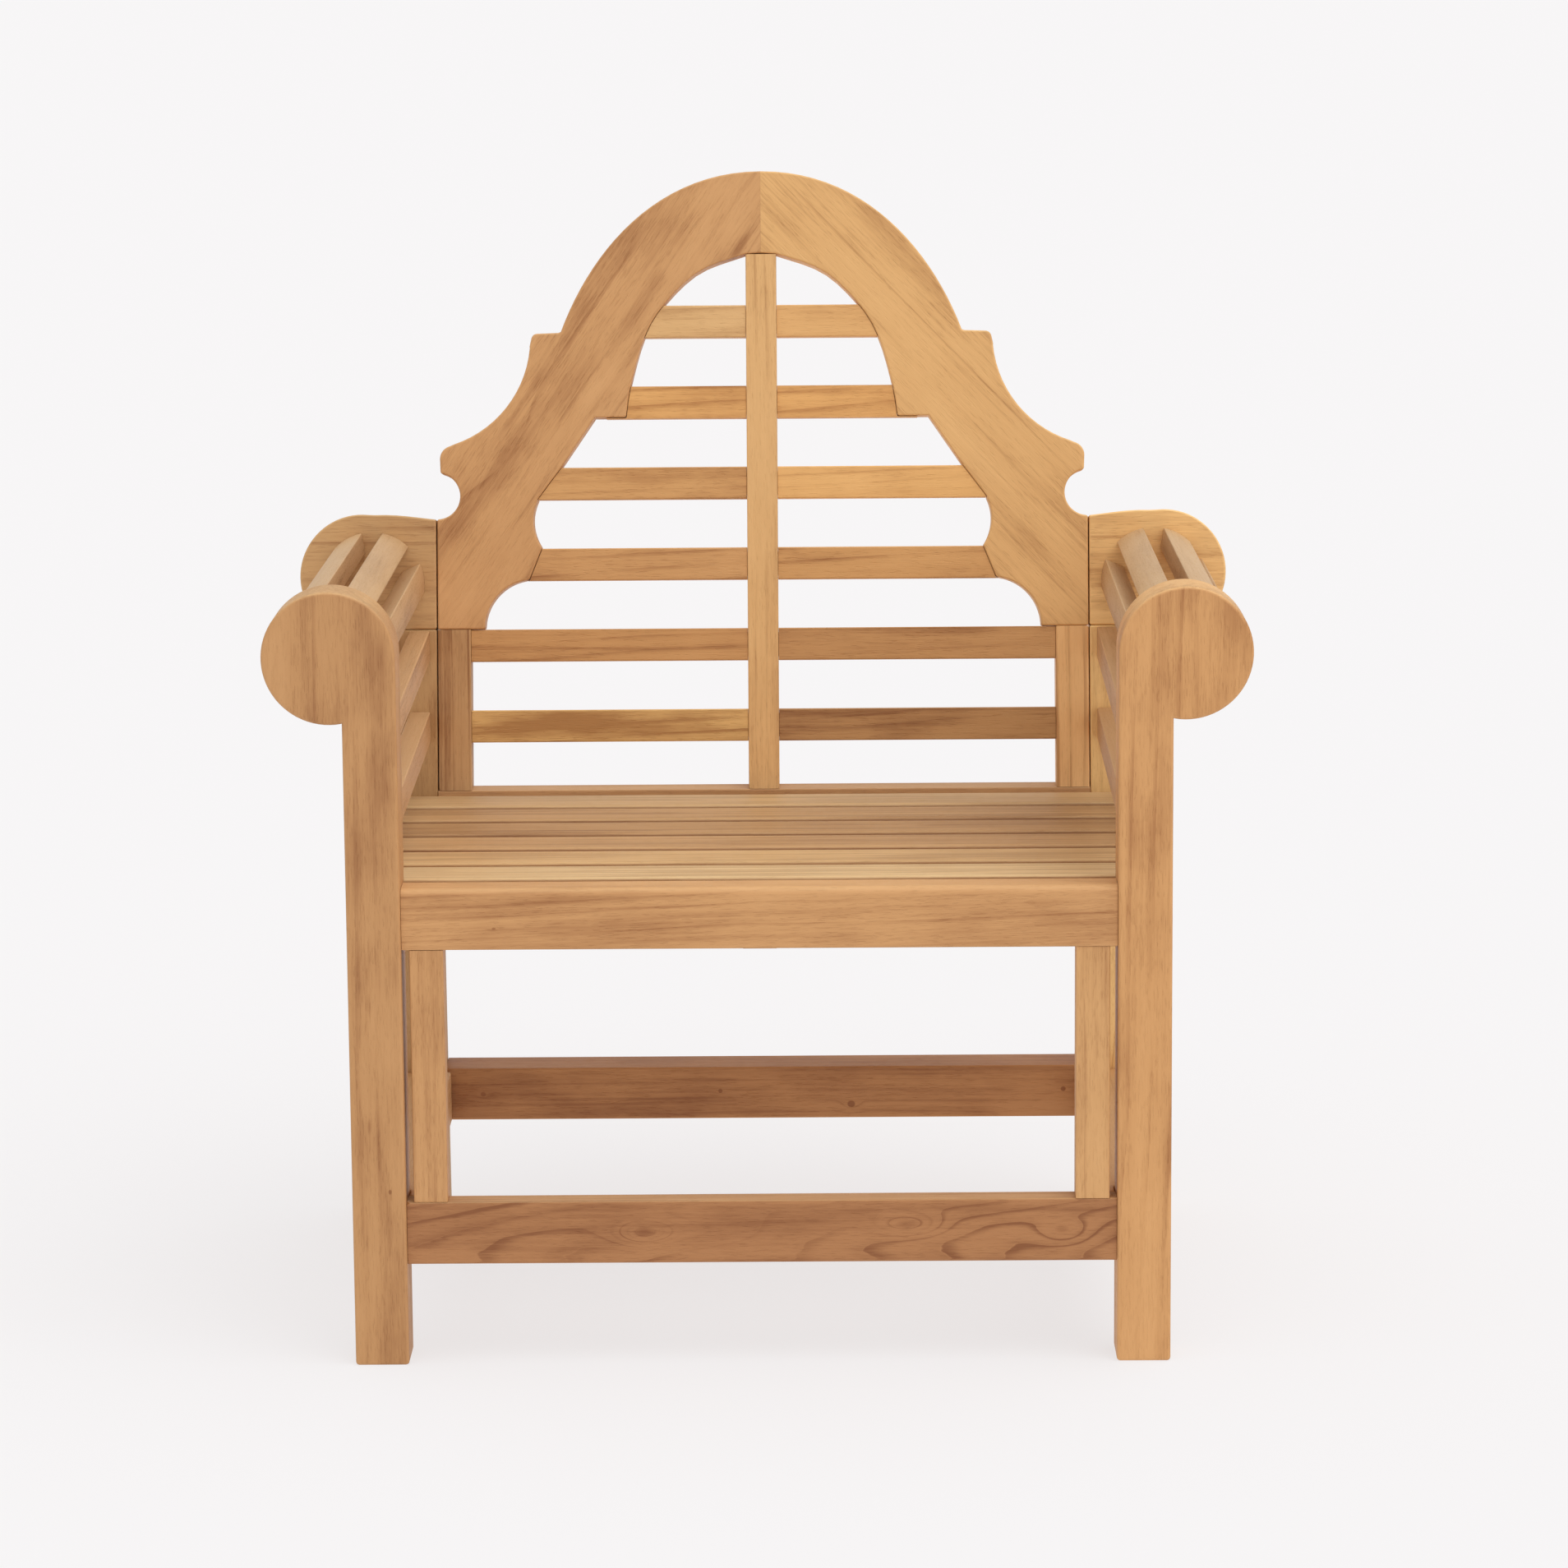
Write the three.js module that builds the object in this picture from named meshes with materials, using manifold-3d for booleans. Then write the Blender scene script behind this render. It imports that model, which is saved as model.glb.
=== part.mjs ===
// A garden armchair of solid teak with scroll arms and an arched, slatted back.
//
// Millimetres. +Z is up, the front of the chair faces -Y, and the origin lies on the floor
// under the middle of the chair's bounding box. Left is -X and right is +X, seen from the front.
// The front faces of the front legs lie in one plane, FRONT_Y, and depths are measured back from it.
// The back, the rear scrolls and the tops of the rear legs share one leaning frame: see inBack().
import * as THREE from 'three';
import { mergeVertices } from 'three/addons/utils/BufferGeometryUtils.js';
import Module from 'manifold-3d';

const wasm = await Module();
wasm.setup();

// ---------------------------------------------------------------- driving dimensions

const CLEARANCE = 0.3;            // between a tenon and its mortise, and at every shoulder
const ARC_STEP = Math.PI / 36;    // longest facet on round outlines

// Legs
const CLEAR_HALF_WIDTH = 317;     // half the clear width between the legs
const LEG_WIDTH = 48;
const LEG_DEPTH = 52;
const LEG_OUTER = CLEAR_HALF_WIDTH + LEG_WIDTH;
const REAR_LEG_DEPTH = 50;
const REAR_FOOT_DEPTH = 524;      // front face of the rear leg at the floor
const KNEE_SWELL = 5;             // extra depth where the rear leg changes direction

// Front scrolls, one piece with the front legs
const SCROLL_RADIUS = 59;
const SCROLL_X = CLEAR_HALF_WIDTH + SCROLL_RADIUS;
const SCROLL_Z = 641;

// Seat
const SEAT_HEIGHT = 434;
const SEAT_SLATS = 6;
const SEAT_SLAT_PITCH = 71;
const SEAT_SLAT_WIDTH = 58;
const SEAT_SLAT_THICKNESS = 22;
const SEAT_SLAT_START = 52.5;     // depth of the first slat's front edge, just behind the front legs
const SEAT_SLAT_EASE = 4;         // rounding of the top edges
const BEARER_TOP = SEAT_HEIGHT - SEAT_SLAT_THICKNESS - CLEARANCE;

// Front frame
const FRONT_SETBACK = 4;          // rails lie this far behind the legs' front faces
const FRONT_RAIL = { thickness: 34, height: 55, ease: 7 };
const STRETCHER_TOP = 149;
const FRONT_STRETCHER = { thickness: 27, height: 57 };
const FRONT_STILE = { inner: 280, outer: 310.3, thickness: 26 };

// Side and rear frames
const SIDE_RAIL = { inner: 329, outer: 361, height: 52 };
const SIDE_STRETCHER = { inner: 311, outer: 357, height: 50 };
const REAR_STRETCHER = { front: 517, thickness: 50, height: 52, rise: 2 };
const REAR_RAIL = { thickness: 30, height: 55 };
const CENTER_BEARER = { halfWidth: 16, height: 40 };
const TENON_LENGTH = 20;

// Leaning back: its front face leaves the seat at BACK_DEPTH and leans back by RAKE
const RAKE = THREE.MathUtils.degToRad(10);
const BACK_DEPTH = 490.5;
const PANEL_THICKNESS = 32;
const PANEL_HALF_WIDTH = 316;
const STILE_WIDTH = 32;
const MUNTIN_HALF_WIDTH = 14.8;
const MUNTIN_TOP = 519.4;         // up the slope, just under the crest's arch
const POST_TOP = 157;             // up the slope: the top of the rear legs and the foot of the crest
const CREST_TOP = 600;            // up the slope: the top of the arch

// Back slats
const ROWS = 6;
const ROW_START = 47;             // up the slope: the lower edge of the lowest row
const ROW_PITCH = 78.4;
const SLAT_HEIGHT = 31.2;
const SLAT_THICKNESS = 18;
const SLAT_SETBACK = 2;           // behind the face of the panel
const SLAT_TENON = { thickness: 9, shoulder: 4 };
const TENON_REACH = [301, 301, 246, 240, 151, 130];   // how far out each row's tenon goes, lowest first

// Rear scrolls
const REAR_SCROLL = { x: 389.5, up: 209.2, radius: 60, innerTop: 264, depth: 50 };

// Arms
const ARM_RADIUS = 51;            // outside of the ring of arm slats
const ARM_SLAT_THICKNESS = 20;
const ARM_SLAT_HALF_ANGLE = THREE.MathUtils.degToRad(16.8);
const ARM_CENTER_FRONT = { x: 375.5, z: 641 };
const ARM_CENTER_REAR = { x: 379.5, z: 631.5 };
const ARM_REAR_DEPTH = 525;
const ARM_TENON = 10;             // how deep arm slats enter the scrolls and legs
const ARM_TENON_SHOULDER = 4;
const SIDE_SLAT = { front: 320, rear: 324, thickness: 20, height: 30 };
const SIDE_SLAT_LOW_Z = 480;
const SIDE_SLAT_HIGH_Z = 557.5;

// Loose hidden pieces
const DOWEL = { radius: 5, inner: 299, outer: 335, sides: 16 };
const DOWEL_UPS = { lower: 102, upper: 215 };
const SPLINE = { halfWidth: 18, low: 556, high: 584, thickness: 9 };

const PANEL_REAR_TOP = BACK_DEPTH + CREST_TOP * Math.sin(RAKE) + PANEL_THICKNESS * Math.cos(RAKE);
const FRONT_Y = -PANEL_REAR_TOP / 2;

// ---------------------------------------------------------------- geometry helpers

// A box between two corners given as ranges along X, Y and Z
function box([x0, x1], [y0, y1], [z0, z1]) {
  const geometry = new THREE.BoxGeometry(x1 - x0, y1 - y0, z1 - z0);
  return geometry.translate((x0 + x1) / 2, (y0 + y1) / 2, (z0 + z1) / 2);
}

// The same box with every face moved out by the joint clearance
function grownBox(...ranges) {
  return box(...ranges.map(([low, high]) => [low - CLEARANCE, high + CLEARANCE]));
}

function shapeFrom(points) {
  return new THREE.Shape(points.map(([x, y]) => new THREE.Vector2(x, y)));
}

// A plate whose outline is drawn in X and Z and whose thickness runs along Y
function plate(outline, y0, y1) {
  const options = { depth: y1 - y0, bevelEnabled: false };
  return new THREE.ExtrudeGeometry(shapeFrom(outline), options).rotateX(Math.PI / 2).translate(0, y1, 0);
}

// A bar whose section is drawn in Y and Z and whose length runs along X
function bar(section, x0, x1) {
  const options = { depth: x1 - x0, bevelEnabled: false };
  const turn = new THREE.Matrix4().makeBasis(
    new THREE.Vector3(0, 1, 0),
    new THREE.Vector3(0, 0, 1),
    new THREE.Vector3(1, 0, 0),
  );
  return new THREE.ExtrudeGeometry(shapeFrom(section), options).applyMatrix4(turn).translate(x0, 0, 0);
}

// Points on an arc about a centre, from one angle to another, both ends included
function arc(cx, cy, radius, from, to) {
  const steps = Math.max(2, Math.ceil(Math.abs(to - from) / ARC_STEP));
  const points = [];
  for (let i = 0; i <= steps; i += 1) {
    const angle = from + ((to - from) * i) / steps;
    points.push([cx + radius * Math.cos(angle), cy + radius * Math.sin(angle)]);
  }
  return points;
}

// Points along a smooth curve through a few hand-picked points, both ends included
function smooth(points, divisions) {
  const curve = new THREE.SplineCurve(points.map(([x, y]) => new THREE.Vector2(x, y)));
  return curve.getSpacedPoints(divisions).map((point) => [point.x, point.y]);
}

// Points along one cubic curve, both ends included
function cubic(start, leave, arrive, end, divisions) {
  const corners = [start, leave, arrive, end].map(([x, y]) => new THREE.Vector2(x, y));
  const curve = new THREE.CubicBezierCurve(...corners);
  return curve.getPoints(divisions).map((point) => [point.x, point.y]);
}

function solid(geometry) {
  const plain = geometry.clone();
  plain.deleteAttribute('normal');
  plain.deleteAttribute('uv');
  const merged = mergeVertices(plain, 1e-4);
  return new wasm.Manifold(new wasm.Mesh({
    numProp: 3,
    vertProperties: new Float32Array(merged.attributes.position.array),
    triVerts: new Uint32Array(merged.index.array),
  }));
}

function joined(base, additions) {
  return additions.reduce((body, piece) => body.add(piece), base);
}

function cut(base, tools) {
  return tools.reduce((body, tool) => body.subtract(tool), base);
}

function geometryOf(body) {
  const mesh = body.getMesh();
  const geometry = new THREE.BufferGeometry();
  geometry.setAttribute('position', new THREE.BufferAttribute(new Float32Array(mesh.vertProperties), 3));
  geometry.setIndex(new THREE.BufferAttribute(new Uint32Array(mesh.triVerts), 1));
  return geometry;
}

// The mirror image on the other side of the chair
function mirrored(geometry) {
  const copy = geometry.clone().scale(-1, 1, 1);
  const index = copy.index.array;
  for (let i = 0; i < index.length; i += 3) {
    const swap = index[i];
    index[i] = index[i + 1];
    index[i + 1] = swap;
  }
  return copy;
}

// The leaning frame: X across, Y into the thickness from the front face, Z up the slope from the seat
const backFrame = new THREE.Matrix4()
  .makeTranslation(0, BACK_DEPTH, SEAT_HEIGHT)
  .multiply(new THREE.Matrix4().makeRotationX(-RAKE));

function inBack(geometry) {
  return solid(geometry.applyMatrix4(backFrame));
}

function backPoint(depth, up) {
  const point = new THREE.Vector3(0, depth, up).applyMatrix4(backFrame);
  return [point.y, point.z];
}

// Everything behind a plane that lies this deep inside the leaning frame's front face
function behindBackFace(depth) {
  return inBack(box([-600, 600], [depth, depth + 400], [-500, 900]));
}

// ---------------------------------------------------------------- materials and nodes

const chair = new THREE.Group();

function wood(color) {
  return new THREE.MeshStandardMaterial({ color, roughness: 0.62, metalness: 0, flatShading: true });
}

const TONE = {
  golden: 0xc9975f,
  honey: 0xc08c58,
  tan: 0xb98858,
  sand: 0xc4a077,
  brown: 0xa06f48,
  dark: 0x8f6242,
};

function addNode(name, body, color) {
  const mesh = new THREE.Mesh(geometryOf(body), wood(color));
  mesh.name = name;
  chair.add(mesh);
}

// A piece made for the right side, and its mirror image on the left
function addPair(name, body, leftColor, rightColor) {
  const right = new THREE.Mesh(geometryOf(body), wood(rightColor));
  right.name = `${name}_right`;
  const left = new THREE.Mesh(mirrored(right.geometry), wood(leftColor));
  left.name = `${name}_left`;
  chair.add(left, right);
}

// ---------------------------------------------------------------- tenons of the seat frame and stretchers

const railDepth = [FRONT_SETBACK, FRONT_SETBACK + FRONT_RAIL.thickness];
const railHeight = [SEAT_HEIGHT - FRONT_RAIL.height, SEAT_HEIGHT];
const stretcherDepth = [FRONT_SETBACK, FRONT_SETBACK + FRONT_STRETCHER.thickness];
const stretcherHeight = [STRETCHER_TOP - FRONT_STRETCHER.height, STRETCHER_TOP];
const rearRailDepth = [BACK_DEPTH, BACK_DEPTH + REAR_RAIL.thickness];
const rearRailHeight = [SEAT_HEIGHT - REAR_RAIL.height, SEAT_HEIGHT];
const rearStretcherDepth = [REAR_STRETCHER.front, REAR_STRETCHER.front + REAR_STRETCHER.thickness];
const rearStretcherTop = STRETCHER_TOP + REAR_STRETCHER.rise;
const rearStretcherHeight = [rearStretcherTop - REAR_STRETCHER.height, rearStretcherTop];
const sideRailHeight = [BEARER_TOP - SIDE_RAIL.height, BEARER_TOP];
const sideStretcherHeight = [STRETCHER_TOP - SIDE_STRETCHER.height, STRETCHER_TOP];

function inset([low, high], margin) {
  return [low + margin, high - margin];
}

const crossTenonX = [CLEAR_HALF_WIDTH - 4, CLEAR_HALF_WIDTH + TENON_LENGTH];
const sideTenonX = [341, 353];
const frontTenonY = [LEG_DEPTH - TENON_LENGTH, LEG_DEPTH + 4];

const tenon = {
  frontRail: [crossTenonX, inset(railDepth, 10), inset(railHeight, 8)],
  frontStretcher: [crossTenonX, inset(stretcherDepth, 7), inset(stretcherHeight, 8)],
  rearRail: [crossTenonX, inset(rearRailDepth, 8), inset(rearRailHeight, 8)],
  rearStretcher: [crossTenonX, inset(rearStretcherDepth, 14), inset(rearStretcherHeight, 8)],
  sideRailFront: [sideTenonX, frontTenonY, inset(sideRailHeight, 8)],
  sideRailRear: [sideTenonX, [480, 516], inset(sideRailHeight, 8)],
  sideStretcherFront: [sideTenonX, frontTenonY, inset(sideStretcherHeight, 8)],
  sideStretcherRear: [sideTenonX, [500, 536], inset(sideStretcherHeight, 8)],
};

const tenonSolid = (name) => solid(box(...tenon[name]));
const mortise = (name) => solid(grownBox(...tenon[name]));

// ---------------------------------------------------------------- arm slats

// A slat that keeps its outline in X and Z while it drifts sideways and down towards the rear
function armBeam(outline, y0, y1, driftX, driftZ) {
  const drift = new THREE.Matrix4().set(
    1, driftX, 0, -driftX * LEG_DEPTH,
    0, 1, 0, 0,
    0, driftZ, 1, -driftZ * LEG_DEPTH,
    0, 0, 0, 1,
  );
  return solid(plate(outline, y0, y1).applyMatrix4(drift));
}

const armRun = ARM_REAR_DEPTH - LEG_DEPTH;
const rollDriftX = (ARM_CENTER_REAR.x - ARM_CENTER_FRONT.x) / armRun;
const rollDriftZ = (ARM_CENTER_REAR.z - ARM_CENTER_FRONT.z) / armRun;
const sideDriftX = (SIDE_SLAT.rear - SIDE_SLAT.front) / armRun;

// Part of a ring about the arm's centre; lean is the slat's angle from straight up, positive inwards
function ringOutline(lean, grow) {
  const { x, z } = ARM_CENTER_FRONT;
  const middle = Math.PI / 2 + lean;
  const outer = ARM_RADIUS + grow;
  const inner = ARM_RADIUS - ARM_SLAT_THICKNESS - grow;
  const half = ARM_SLAT_HALF_ANGLE + grow / ARM_RADIUS;
  return [
    ...arc(x, z, outer, middle - half, middle + half),
    ...arc(x, z, inner, middle + half, middle - half),
  ];
}

function sideSlatOutline(lowZ, grow) {
  const x0 = SIDE_SLAT.front - grow;
  const x1 = SIDE_SLAT.front + SIDE_SLAT.thickness + grow;
  const z0 = lowZ - grow;
  const z1 = lowZ + SIDE_SLAT.height + grow;
  return [[x0, z0], [x1, z0], [x1, z1], [x0, z1]];
}

// One arm slat with a tenon at each end, and the tool that cuts its two mortises
function armSlat(outlineOf, driftX, driftZ) {
  const farY = ARM_REAR_DEPTH + 80;
  const shoulders = armBeam(outlineOf(0), LEG_DEPTH + CLEARANCE, farY, driftX, driftZ);
  const core = armBeam(outlineOf(-ARM_TENON_SHOULDER), LEG_DEPTH - ARM_TENON, farY, driftX, driftZ);
  const mortiseOutline = outlineOf(CLEARANCE - ARM_TENON_SHOULDER);
  const tool = armBeam(mortiseOutline, LEG_DEPTH - ARM_TENON - CLEARANCE, farY, driftX, driftZ);
  return {
    body: cut(shoulders, [behindBackFace(-CLEARANCE)]).add(cut(core, [behindBackFace(ARM_TENON)])),
    mortise: cut(tool, [behindBackFace(ARM_TENON + CLEARANCE)]),
  };
}

const rollLeans = {
  inner: THREE.MathUtils.degToRad(83),
  top_inner: THREE.MathUtils.degToRad(28),
  top_outer: THREE.MathUtils.degToRad(-28),
  outer: THREE.MathUtils.degToRad(-83),
};

const armSlats = {};
for (const [place, lean] of Object.entries(rollLeans)) {
  armSlats[`arm_slat_${place}`] = armSlat((grow) => ringOutline(lean, grow), rollDriftX, rollDriftZ);
}
armSlats.side_slat_upper = armSlat((grow) => sideSlatOutline(SIDE_SLAT_HIGH_Z, grow), sideDriftX, 0);
armSlats.side_slat_lower = armSlat((grow) => sideSlatOutline(SIDE_SLAT_LOW_Z, grow), sideDriftX, 0);

const armMortises = Object.values(armSlats).map((slat) => slat.mortise);
for (const [name, slat] of Object.entries(armSlats)) {
  addPair(name, slat.body, TONE.sand, TONE.sand);
}

// ---------------------------------------------------------------- dowels and spline

function dowelGeometry(up, grow) {
  const length = DOWEL.outer - DOWEL.inner + 2 * grow;
  const geometry = new THREE.CylinderGeometry(DOWEL.radius + grow, DOWEL.radius + grow, length, DOWEL.sides);
  return geometry.rotateZ(Math.PI / 2).translate((DOWEL.inner + DOWEL.outer) / 2, PANEL_THICKNESS / 2, up);
}

const dowelHoles = Object.values(DOWEL_UPS).map((up) => inBack(dowelGeometry(up, CLEARANCE)));
for (const [place, up] of Object.entries(DOWEL_UPS)) {
  addPair(`back_dowel_${place}`, inBack(dowelGeometry(up, 0)), TONE.tan, TONE.tan);
}

const splineMiddle = PANEL_THICKNESS / 2;
const splineRanges = [
  [-SPLINE.halfWidth, SPLINE.halfWidth],
  [splineMiddle - SPLINE.thickness / 2, splineMiddle + SPLINE.thickness / 2],
  [SPLINE.low, SPLINE.high],
];
const splineSlot = inBack(grownBox(...splineRanges));
addNode('crest_spline', inBack(box(...splineRanges)), TONE.tan);

// ---------------------------------------------------------------- front legs

function frontLeg() {
  const underside = -Math.acos((LEG_OUTER - SCROLL_X) / SCROLL_RADIUS);
  const outline = [
    [CLEAR_HALF_WIDTH, 0],
    [LEG_OUTER, 0],
    ...arc(SCROLL_X, SCROLL_Z, SCROLL_RADIUS, underside, Math.PI),
  ];
  const tools = ['frontRail', 'frontStretcher', 'sideRailFront', 'sideStretcherFront'].map(mortise);
  return cut(solid(plate(outline, 0, LEG_DEPTH)), [...tools, ...armMortises]);
}

addPair('front_leg', frontLeg(), TONE.honey, TONE.golden);

// ---------------------------------------------------------------- rear legs and rear scrolls

const postTenonRanges = [[328, 354], [14, 36], [POST_TOP - 10, POST_TOP + 28]];

function rearLegSection() {
  return [
    [REAR_FOOT_DEPTH, 0],
    [REAR_FOOT_DEPTH + REAR_LEG_DEPTH, 0],
    [BACK_DEPTH + REAR_LEG_DEPTH + KNEE_SWELL, SEAT_HEIGHT - REAR_LEG_DEPTH * Math.sin(RAKE)],
    backPoint(REAR_LEG_DEPTH, POST_TOP),
    backPoint(0, POST_TOP),
    [BACK_DEPTH, SEAT_HEIGHT],
  ];
}

function rearLeg() {
  const post = solid(bar(rearLegSection(), CLEAR_HALF_WIDTH, LEG_OUTER));
  const tools = ['rearRail', 'rearStretcher', 'sideRailRear', 'sideStretcherRear'].map(mortise);
  return cut(post, [...tools, ...armMortises, ...dowelHoles]).add(inBack(box(...postTenonRanges)));
}

function rearScroll() {
  const { x, up, radius, innerTop, depth } = REAR_SCROLL;
  const foot = POST_TOP + CLEARANCE;
  const underside = -Math.asin((up - foot) / radius);
  const outline = [
    [CLEAR_HALF_WIDTH, foot],
    ...arc(x, up, radius, underside, Math.PI / 2 + 0.1),
    ...cubic([376, up + radius - 0.6], [356, up + radius + 0.2], [338, innerTop + 2.4], [318, innerTop], 6),
    [CLEAR_HALF_WIDTH, innerTop],
  ];
  const tools = [inBack(grownBox(...postTenonRanges)), ...armMortises, ...dowelHoles];
  return cut(inBack(plate(outline, 0, depth)), tools);
}

addPair('rear_leg', rearLeg(), TONE.brown, TONE.tan);
addPair('rear_scroll', rearScroll(), TONE.honey, TONE.golden);

// ---------------------------------------------------------------- crest

// The right half of the crest in the leaning frame, starting at the top of the mitre
function crestOutline() {
  const arch = cubic([CLEARANCE, CREST_TOP], [102, CREST_TOP], [166, 522], [194.7, 445.4], 22);
  const shoulder = [[197, 444.5], [220, 443.7], [223, 441], [225.2, 431]];
  const hollow = arc(333, 440, 108.5, Math.PI * 1.03, Math.PI * 1.4);
  const nose = arc(300, 322.5, 13, Math.PI * 0.42, 0);
  const notch = arc(PANEL_HALF_WIDTH, 286.5, 22.4, Math.PI * 0.55, Math.PI * 1.5);
  const foot = [[PANEL_HALF_WIDTH, POST_TOP], [270.3, POST_TOP]];
  const corner = arc(222.5, POST_TOP, 47.8, 0.06, Math.PI / 2 - 0.09);
  const scallop = [[214.2, 235.6], ...arc(177, 262, 45.5, -0.55, 0.45)];
  const wing = [[218.2, 283], [194.4, 314.4], [162, 361.8], [132, 361.8]];
  const archFeet = [[131.6, 364], [127, 392.7], [113.5, 439.4], [94, 471.4]];
  const innerArch = smooth([...archFeet, [60, 503], [15, 519.8]], 16);
  const mitreFoot = [[CLEARANCE, 520.8]];
  return [
    ...arch, ...shoulder, ...hollow, ...nose, ...notch, ...foot, ...corner,
    ...scallop, ...wing, ...innerArch, ...mitreFoot,
  ];
}

// The right half of the crest, moved a little sideways or up the slope and made a little thicker
function crestPlate(moveX, moveUp, grow) {
  return inBack(plate(crestOutline(), -grow, PANEL_THICKNESS + grow).translate(moveX, 0, moveUp));
}

function crestWithClearance() {
  const gap = 2 * CLEARANCE;
  return joined(crestPlate(-gap, 0, gap), [crestPlate(0, -gap, gap), crestPlate(0, gap, gap)]);
}

const slatFace = [SLAT_SETBACK, SLAT_SETBACK + SLAT_THICKNESS];
const slatTenonFace = inset(slatFace, (SLAT_THICKNESS - SLAT_TENON.thickness) / 2);

const rowUp = (row) => [ROW_START + row * ROW_PITCH, ROW_START + row * ROW_PITCH + SLAT_HEIGHT];

function slatTenonRanges(row) {
  return [[8, TENON_REACH[row]], slatTenonFace, inset(rowUp(row), SLAT_TENON.shoulder)];
}

const slatMortises = [];
for (let row = 0; row < ROWS; row += 1) {
  slatMortises.push(inBack(grownBox(...slatTenonRanges(row))));
}

const muntinTenonRanges = [[-10, 10], inset([0, PANEL_THICKNESS], 10), [500, 542]];
const stileInner = PANEL_HALF_WIDTH - STILE_WIDTH;
const stileTenonX = inset([stileInner, PANEL_HALF_WIDTH], 7);
const stileTenonRanges = [stileTenonX, inset([0, PANEL_THICKNESS], 10), [POST_TOP - 2, POST_TOP + 19]];

const crestTools = [
  splineSlot,
  inBack(grownBox(...muntinTenonRanges)),
  inBack(grownBox(...stileTenonRanges)),
  ...slatMortises,
  ...dowelHoles,
];
addPair('back_crest', cut(crestPlate(0, 0, 0), crestTools), TONE.honey, TONE.golden);

// ---------------------------------------------------------------- stiles and muntin of the back

// The stiles and the muntin stand on the level top of the rear seat rail, with a tenon down into it
const belowFeet = solid(box([-600, 600], [300, 700], [300, SEAT_HEIGHT + CLEARANCE]));
const footTenon = (x) => [x, inset([0, PANEL_THICKNESS], 10), [-14, 10]];
const muntinFoot = footTenon([-10, 10]);
const stileFoot = footTenon(stileTenonX);

const stileRanges = [
  [stileInner, PANEL_HALF_WIDTH],
  [0, PANEL_THICKNESS],
  [-20, POST_TOP - CLEARANCE],
];
const stile = joined(cut(inBack(box(...stileRanges)), [belowFeet, ...slatMortises, ...dowelHoles]), [
  inBack(box(...stileTenonRanges)),
  inBack(box(...stileFoot)),
]);
addPair('back_stile', stile, TONE.brown, TONE.tan);

const muntinX = [-MUNTIN_HALF_WIDTH, MUNTIN_HALF_WIDTH];
const muntinBlank = inBack(box(muntinX, [0, PANEL_THICKNESS], [-20, MUNTIN_TOP]));
const crestGap = crestWithClearance();
const mirroredSolid = (body) => solid(mirrored(geometryOf(body)));
const muntin = cut(muntinBlank, [
  belowFeet,
  crestGap,
  mirroredSolid(crestGap),
  ...slatMortises,
  ...slatMortises.map(mirroredSolid),
]);
addNode('back_muntin', joined(muntin, [
  inBack(box(...muntinTenonRanges)),
  inBack(box(...muntinFoot)),
]), TONE.honey);

// ---------------------------------------------------------------- back slats

function backSlat(row) {
  const reach = TENON_REACH[row];
  const meetsStile = rowUp(row)[1] <= POST_TOP + 2;
  const outer = meetsStile ? stileInner - CLEARANCE : reach;
  const blankRanges = [[MUNTIN_HALF_WIDTH + CLEARANCE, outer], slatFace, rowUp(row)];
  const shoulders = cut(inBack(box(...blankRanges)), [crestGap]);
  const [x, y, up] = slatTenonRanges(row);
  return shoulders.add(inBack(box(x, y, up)));
}

const SLAT_TONES = [
  [TONE.honey, TONE.dark],
  [TONE.tan, TONE.brown],
  [TONE.golden, TONE.honey],
  [TONE.honey, TONE.golden],
  [TONE.tan, TONE.honey],
  [TONE.honey, TONE.golden],
];
for (let row = 0; row < ROWS; row += 1) {
  addPair(`back_slat_${ROWS - row}`, backSlat(row), ...SLAT_TONES[row]);
}

// ---------------------------------------------------------------- front frame

const shoulderX = CLEAR_HALF_WIDTH - CLEARANCE;
const centerBearerTenonFront = [[-10, 10], [railDepth[1] - 12, railDepth[1] + 4], [382, 404]];
const centerBearerTenonRear = [[-10, 10], [BACK_DEPTH - 4, BACK_DEPTH + 12], [386, 402]];
const frontStileX = inset([FRONT_STILE.inner, FRONT_STILE.outer], 8);
const frontStileY = [FRONT_SETBACK + 8, FRONT_SETBACK + 18];
const frontStileFoot = [frontStileX, frontStileY, [STRETCHER_TOP - 14, STRETCHER_TOP + 6]];
const frontStileHead = [frontStileX, frontStileY, [railHeight[0] - 6, railHeight[0] + 14]];

function bothSides(body) {
  return [body, mirroredSolid(body)];
}

function frontRail() {
  const [y0, y1] = railDepth;
  const [z0, z1] = railHeight;
  const { ease } = FRONT_RAIL;
  const section = [
    [y0, z0],
    [y1, z0],
    [y1, z1],
    ...arc(y0 + ease, z1 - ease, ease, Math.PI / 2, Math.PI),
  ];
  const blank = joined(solid(bar(section, -shoulderX, shoulderX)), bothSides(tenonSolid('frontRail')));
  const stileSocket = solid(grownBox(...frontStileHead));
  return cut(blank, [...bothSides(stileSocket), solid(grownBox(...centerBearerTenonFront))]);
}
addNode('seat_front_rail', frontRail(), TONE.golden);

const frontStretcher = joined(
  solid(box([-shoulderX, shoulderX], stretcherDepth, stretcherHeight)),
  bothSides(tenonSolid('frontStretcher')),
);
const frontStileFootSocket = solid(grownBox(...frontStileFoot));
addNode('front_stretcher', cut(frontStretcher, bothSides(frontStileFootSocket)), TONE.honey);

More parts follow.
